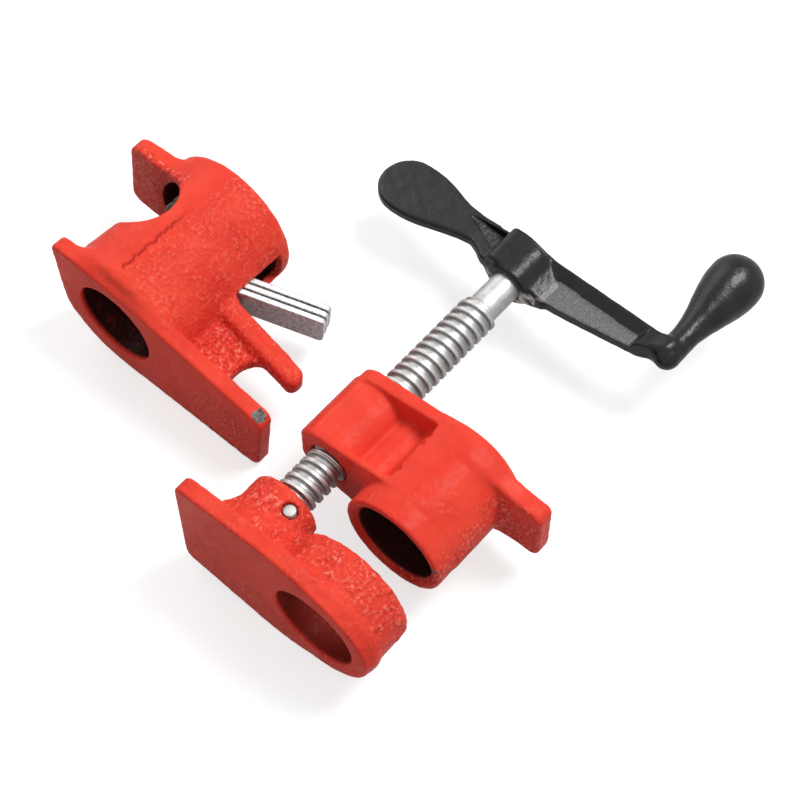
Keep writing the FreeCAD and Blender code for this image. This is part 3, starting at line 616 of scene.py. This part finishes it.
def black_enamel(name):
    """Half-gloss black enamel on sand-cast iron: nearly black, with a fine leathery skin, grey where the mark says
    that the paint is thin and dusty with a painted sheen, painted light on the grip's flat top, and bright where
    bare says that it is gone."""
    material = bpy.data.materials.new(name)
    tree, shader = nodes_of(material)
    cloud = grain(tree, 160, 3)
    sand = grain(tree, 1100, 3, 0.6)
    fine = grain(tree, 3000, 2)
    paint = ramp(tree, cloud, [(0.3, (0.003, 0.003, 0.0032)), (0.7, (0.009, 0.009, 0.0095))])
    # Painted sheen: the grey that the mark mixes in on the shelf, over thin dusty paint, and on the grip's flat
    # top.
    dusty_sheen = ramp(tree, fine, [(0.36, (0.07, 0.07, 0.07)), (0.5, (0.125, 0.125, 0.125)),
                              (0.66, (0.19, 0.19, 0.19))])
    iron = ramp(tree, sand, [(0.36, (0.12, 0.12, 0.12)), (0.52, (0.66, 0.66, 0.65))])
    paint = blend_of(tree, told(tree, "grit"), paint, dusty_sheen)
    tree.links.new(blend_of(tree, told(tree, "bare"), paint, iron), shader.inputs["Base Color"])
    shader.inputs["Specular IOR Level"].default_value = 0.3
    tree.links.new(sum_of(tree, "ADD", sum_of(tree, "MULTIPLY", sand, 0.2), 0.2), shader.inputs["Roughness"])
    leather = bump(tree, sand, 0.5, 0.00016)
    tree.links.new(bump(tree, fine, 0.25, 0.00005, leather), shader.inputs["Normal"])
    return material


own, faces = skin(crank_field, (-2.6, -62.5, -10.0), (52, 57, 10.0), 0.45)
turn = np.array([(1, 0, 0), (0, math.cos(CRANK_LIFT), math.sin(CRANK_LIFT)),
                 (0, -math.sin(CRANK_LIFT), math.cos(CRANK_LIFT))])
crank = piece("crank_body", own @ turn.T + (CRANK_X, SCREW_Y, 0), faces, black_enamel("black_enamel"), "screw",
              "black_casting", grit=crank_grit(*own.T), bare=crank_bare(*own.T))
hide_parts("crank_handle")

# Tail jaw: the third casting, which slides on the pipe and grips it with its clutch. A straight plate, a round
# housing with a scoop cut in one side and an ear behind it, and a prong that guards the clutch plates' tails.
TAIL_PLACE = (1.1, 110.9, -1.5)
TAIL_HALF = 16.0
TAIL_REACH = 58.2
SHELL_RADIUS = 22.8
TAIL_ROLL = math.asin(SHELL_RADIUS / math.hypot(TAIL_REACH, TAIL_HALF)) - math.atan(TAIL_HALF / TAIL_REACH)
TAIL_TIP = 13.0
TAIL_PLATE_BACK = 5.5
PARTING_ARC = -2.8
HOUSING_REAR = 53.8
HOLLOW_RADIUS = 20.2
HOLLOW_REAR = 48.5
EAR_FRONT = 41.3
EAR_REAR = 48.6
EAR_EDGE = 34


def past_parting(x, y, z):
    """How far a point lies past the parting line, in mm round the housing towards the table; the line is ragged
    and drifts a little along X."""
    ragged = 0.5 * lumps(x, 0 * y, 0 * z, 3.2, 51) + 0.3 * lumps(x, 0 * y, 0 * z, 1.1, 52)
    return np.arctan2(-y, z) * SHELL_RADIUS + ragged - PARTING_ARC - 0.03 * x


def tail_field(x, y, z):
    """Plate, housing, ear, prong and web in the tail's own frame, joined with fillets; then the hollow for the
    plates, the pipe's bore, the scoop and the slot for the plates' tails. The lower sand half lies 0.3 back."""
    from_pipe = np.hypot(y, z)
    outline = hull(y, z, [(-TAIL_REACH, -15.6), (-3, -22.3), (9, -20.8), (20.6, -13), (26.5, 15.8), (8, 19.1),
                          (-TAIL_REACH, TAIL_TIP)], 3.0)
    plate = meet(outline, between(x, 0, TAIL_PLATE_BACK), 1.2)
    line = past_parting(x, y, z)
    step = 0.3 * np.clip(line / 0.5, 0, 1) + 0.3 * np.exp(-(line / 0.45) ** 2)
    shell = meet(from_pipe - SHELL_RADIUS + step * np.clip((38 - x) / 6, 0, 1), between(x, 2, HOUSING_REAR), 3.0)
    ear_side = meet(np.abs(z) - 15, y - EAR_EDGE, 4.4)
    ear_outline = hull(x, y, [(EAR_FRONT, -5), (EAR_REAR, -5), (EAR_REAR, 20), (46.9, EAR_EDGE),
                              (EAR_FRONT, EAR_EDGE)], 1.0)
    ear = meet(ear_side, ear_outline, 1.2)
    solid = join(shell, ear, 3.5)
    solid = join(solid, plate, 3.6)
    prong_outline = hull(x, y, [(18, -54.5), (24.8, -54.5), (29.7, -18), (22.5, -18)], 3.0)
    prong = meet(prong_outline, between(z, -1.5, 6), 2.1)
    notch = np.hypot(x - 12.3, y + 48.4) - 11
    web = meet(np.maximum(np.abs(z) - 2.5, between(x, 2, 26)), between(y, -46, -18), 0.5)
    web = cut(web, notch, 1.0)
    solid = join(solid, join(prong, web, 2.4), 2.4)
    hollow = meet(from_pipe - HOLLOW_RADIUS, between(x, 8, HOLLOW_REAR), 1.5)
    solid = cut(solid, hollow, 0.4)
    solid = cut(solid, from_pipe - PIPE_WALL, 0.5)
    scoop = join(np.hypot(x - 31, y - 17.6) - 10.6,
                 hull(x, y, [(11, 20.8), (19.5, 17.6), (EAR_FRONT, 17.6), (EAR_FRONT, 60), (11, 60)], 1.5), 2.0)
    solid = cut(solid, scoop, 0.9)
    slot = meet(meet(np.abs(z) - 6.2, between(x, 29.5, HOLLOW_REAR), 0.8), y + 10, 0.1)
    solid = cut(solid, slot, 0.4)
    solid = solid + 0.06 - 0.05 * lumps(x, y, z, 4.2, 53) - 0.04 * lumps(x, y, z, 1.9, 54)
    return np.maximum(solid, -y * math.sin(TAIL_ROLL) - z * math.cos(TAIL_ROLL) - SHELL_RADIUS + 0.02)


def tail_grit(x, y, z):
    """Smooth above the parting line, sandy below it and on the ear's inner face, the web and the plate's end. The
    same mark sets the enamel's painted glints and painted pit shade; the ear's inner face, the web and the plate's
    end are shaded sides, raised for their painted glints.
    """
    below = np.clip(past_parting(x, y, z) / 1.2, 0, 1) * (x > 5)
    inner_ear = ((x > 38) & (x < 44) & (y > 10)).astype(float)
    face = np.clip((-12 - y) / 26, 0, 1) * np.clip((12 - z) / 12, 0, 1) * (x < 1)
    web = ((np.abs(z) < 4) & (y < -23) & (x > 6)).astype(float)
    rough = 0.42 * below + 0.8 * inner_ear + 0.75 * face + 0.45 * web
    return np.clip(0.12 + rough + 0.2 * lumps(x, y, z, 8, 23), 0.06, 1)


def tail_seam(x, y, z):
    """Dark line along the parting, only on the housing's round side."""
    return np.exp(-(past_parting(x, y, z) / 0.42) ** 2) * np.clip((36 - x) / 8, 0, 1) * (x > 6.5) * (z > 15)


def laid(points):
    """The tail's own frame to the row frame: rolled about X until the plate's end meets the table, then moved."""
    x, y, z = points.T
    return np.stack([x, y * math.cos(TAIL_ROLL) - z * math.sin(TAIL_ROLL),
                     y * math.sin(TAIL_ROLL) + z * math.cos(TAIL_ROLL)], axis=1) + TAIL_PLACE


own, faces = skin(tail_field, (-0.5, -59, -23.5), (55, 35, 23.5), 0.55)
tip = laid(np.array([(2.6, -55.6, 13.0)]))[0]
# The bore mark is painted shade in the hollow for the plates and on the bore's wall.
hollow = (np.hypot(own[:, 1], own[:, 2]) < 20.6) & (own[:, 0] > 7.6) & (own[:, 0] < 48.9)
tail = piece("tail_jaw_body", laid(own), faces, red_enamel("red_enamel_tail", [(tuple(tip), 2.0)]),
             "tail_jaw", "red_casting", grit=tail_grit(*own.T), seam=tail_seam(*own.T),
             bore=np.maximum(hollow * 0.9, bore_shade_mask(*own.T, PIPE_WALL, 0.5)))
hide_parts("tail_jaw_casting")

# Clutch: three loose plates stamped from hard steel, side by side on the pipe. They lean together against the
# front edge of the slot, and their tails stick out for the thumb. Sheared edges are bright, faces dull.
CLUTCH_TILT = math.radians(21.0)
HINGE_X = 30.673
HINGE_Y = -21.5
PLATE_TAIL_HALF = 5.9
PLATE_THICKNESS = 1.9
PLATE_PITCH = 2.35
DISC_RADIUS = 18.2
DISC_HOLE = 14.0
TONGUE_END = -27.4


def plate_field(x, y, z):
    """Disc with the pipe's hole and a straight tail with rounded corners, with broken edges."""
    from_pipe = np.hypot(y + HINGE_Y, z)
    tongue = meet(np.abs(z) - PLATE_TAIL_HALF, between(y, TONGUE_END, -HINGE_Y), 1.8)
    outline = cut(join(from_pipe - DISC_RADIUS, tongue, 2.0), from_pipe - DISC_HOLE, 0.1)
    return meet(outline, between(x, 0, PLATE_THICKNESS), 0.3)


def clutch_steel(name):
    """Sheared hard steel: dull grey mottled faces, and nearly white where the edge attribute tells of a shear."""
    material = bpy.data.materials.new(name)
    tree, shader = nodes_of(material)
    sand = grain(tree, 800, 4, 0.62)
    fine = grain(tree, 2400, 2)
    face = ramp(tree, sand, [(0.32, (0.22, 0.22, 0.22)), (0.5, (0.46, 0.46, 0.46)),
                             (0.66, (0.62, 0.62, 0.61))])
    shorn = ramp(tree, sand, [(0.3, (0.5, 0.5, 0.5)), (0.5, (0.78, 0.78, 0.77))])
    tree.links.new(blend_of(tree, told(tree, "edge"), face, shorn), shader.inputs["Base Color"])
    shader.inputs["Metallic"].default_value = 0.6
    tree.links.new(sum_of(tree, "ADD", sum_of(tree, "MULTIPLY", sand, 0.3), 0.25), shader.inputs["Roughness"])
    tree.links.new(bump(tree, fine, 0.4, 0.00008), shader.inputs["Normal"])
    return material


steel = clutch_steel("clutch_plate_steel")
own, faces = skin(plate_field, (-0.3, -28, -18.6), (PLATE_THICKNESS + 0.3, 40.2, 18.6), 0.36)
edge = np.clip(0.5 + (PLATE_THICKNESS / 2 - 0.25 - np.abs(own[:, 0] - PLATE_THICKNESS / 2)) / 0.2, 0, 1)
for number, rank in enumerate(("front", "middle", "rear")):
    x, y, z = (own + (number * PLATE_PITCH, 0, 0)).T
    leaning = np.stack([HINGE_X + x * math.cos(CLUTCH_TILT) - y * math.sin(CLUTCH_TILT),
                        HINGE_Y + x * math.sin(CLUTCH_TILT) + y * math.cos(CLUTCH_TILT), z], axis=1)
    plate = piece("clutch_plate_" + rank + "_body", laid(leaning), faces, steel, "clutch", "clutch_steel",
                  edge=edge)
    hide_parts("clutch_plate_" + rank)

# Clutch spring: an open coil of dark wire between the rear plate and the housing's rear wall. It is loose on the
# pipe and presses the plates over. When the plates are squared, the spring shortens towards its seat; this coil is
# built at one length only.
SPRING_RADIUS = 15.1
SPRING_WIRE = 0.8
SPRING_TURNS = 3.5
COIL_RINGS = 225
COIL_SIDES = 16


def coil(first, last):
    """Wire of circular section carried along a helix about X: the centre climbs evenly from first to last, and
    each ring lies across the wire's heading, in the plane of the outward direction and their cross product."""
    turn = np.linspace(0, 2 * np.pi * SPRING_TURNS, COIL_RINGS)
    climb = (last - first) / turn[-1]
    flat = np.zeros_like(turn)
    outward = np.stack([flat, -np.cos(turn), -np.sin(turn)], axis=1)
    heading = np.stack([flat + climb, SPRING_RADIUS * np.sin(turn), -SPRING_RADIUS * np.cos(turn)], axis=1)
    heading /= np.linalg.norm(heading, axis=1, keepdims=True)
    across = np.cross(heading, outward)
    centres = outward * SPRING_RADIUS + np.stack([first + climb * turn, flat, flat], axis=1)
    angle = 2 * np.pi * np.arange(COIL_SIDES) / COIL_SIDES
    ring = (centres[:, None] + SPRING_WIRE * (np.cos(angle)[:, None] * outward[:, None]
                                              + np.sin(angle)[:, None] * across[:, None]))
    return np.concatenate([ring.reshape(-1, 3), centres[[0, -1]]]), tube_faces(COIL_RINGS, COIL_SIDES)


room = [corner[0] / MM - TAIL_PLACE[0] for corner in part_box("clutch_spring")]
points, faces = coil(room[0] + SPRING_WIRE + 0.02, room[1] - SPRING_WIRE - 0.02)
spring = piece("clutch_spring_body", laid(points), faces, bright_zinc("spring_wire", (0.07, 0.07, 0.07), 0.3),
               "tail_jaw", "spring_steel")
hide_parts("clutch_spring")
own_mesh(spring)

# The studio: pale floor that the castings lie on, white sky, a large soft lamp at the upper right and a weaker one
# behind, and the camera that looks down on the clamp from the plates' side.
FLOOR_Z = -24.3
FLOOR_HALF = 1500
FLOOR_GLOW = 0.68
FLOOR_MIRRORED = 0.22
SKY_LIGHT = 0.49
SKY_SEEN = 0.51
WHITE = (1, 1, 1, 1)
LAMPS = [("key_lamp", (420, -220, 900), 0.36, 8.0),
         ("back_lamp", (250, 760, 520), 0.6, 2.0)]

floor_material = bpy.data.materials.new("floor_paper")
floor_material.use_nodes = True
tree = floor_material.node_tree
tree.nodes.clear()
paper = tree.nodes.new("ShaderNodeBsdfDiffuse")
tree.links.new(ramp(tree, grain(tree, 30, 2), [(0.3, (0.45, 0.45, 0.45)), (0.7, (0.47, 0.47, 0.47))]),
               paper.inputs["Color"])
glow = tree.nodes.new("ShaderNodeEmission")
ray = tree.nodes.new("ShaderNodeLightPath")
mirrored = sum_of(tree, "MAXIMUM", ray.outputs["Is Glossy Ray"], ray.outputs["Is Transmission Ray"])
seen = sum_of(tree, "MAXIMUM", ray.outputs["Is Camera Ray"], sum_of(tree, "MULTIPLY", mirrored, FLOOR_MIRRORED))
tree.links.new(sum_of(tree, "MULTIPLY", seen, FLOOR_GLOW), glow.inputs["Strength"])
both = tree.nodes.new("ShaderNodeAddShader")
tree.links.new(paper.outputs["BSDF"], both.inputs[0])
tree.links.new(glow.outputs["Emission"], both.inputs[1])
tree.links.new(both.outputs["Shader"], tree.nodes.new("ShaderNodeOutputMaterial").inputs["Surface"])

floor_mesh = bpy.data.meshes.new("floor")
corners = np.array([(-1, -1, 0), (1, -1, 0), (1, 1, 0), (-1, 1, 0)]) * FLOOR_HALF + (0, 0, FLOOR_Z)
floor_mesh.from_pydata((corners * MM).tolist(), [], [(0, 1, 2, 3)])
floor_mesh.materials.append(floor_material)
floor = bpy.data.objects.new("floor", floor_mesh)
bpy.context.scene.collection.objects.link(floor)

world = bpy.data.worlds.new("white_room")
bpy.context.scene.world = world
world.use_nodes = True
tree = world.node_tree
sky = tree.nodes["Background"]
sky.inputs["Color"].default_value = WHITE
ray = tree.nodes.new("ShaderNodeLightPath")
seen = sum_of(tree, "MAXIMUM", ray.outputs["Is Camera Ray"],
              sum_of(tree, "MAXIMUM", ray.outputs["Is Glossy Ray"], ray.outputs["Is Transmission Ray"]))
strength = sum_of(tree, "ADD", sum_of(tree, "MULTIPLY", seen, SKY_SEEN), SKY_LIGHT)
tree.links.new(strength, sky.inputs["Strength"])

MIDDLE = Vector((36, 29, 0)) * MM
for name, place, size, power in LAMPS:
    lamp = bpy.data.lights.new(name, "AREA")
    lamp.size = size
    lamp.energy = power
    thing = bpy.data.objects.new(name, lamp)
    thing.location = Vector(place) * MM
    thing.rotation_euler = (MIDDLE - thing.location).to_track_quat("-Z", "Y").to_euler()
    bpy.context.scene.collection.objects.link(thing)

CAMERA_PLACE = Vector((-190.4, -166.3, 520.2)) * MM
CAMERA_TARGET = Vector((36.04, 28.95, 0)) * MM
CAMERA_LENS = 92.9
SENSOR_WIDTH = 36
view = bpy.data.cameras.new("camera")
view.lens = CAMERA_LENS
view.sensor_width = SENSOR_WIDTH
view.clip_start = 0.01
camera = bpy.data.objects.new("camera", view)
camera.location = CAMERA_PLACE
camera.rotation_euler = (CAMERA_TARGET - CAMERA_PLACE).to_track_quat("-Z", "Y").to_euler()
bpy.context.scene.collection.objects.link(camera)
bpy.context.scene.camera = camera
bpy.context.scene.view_settings.view_transform = "Standard"
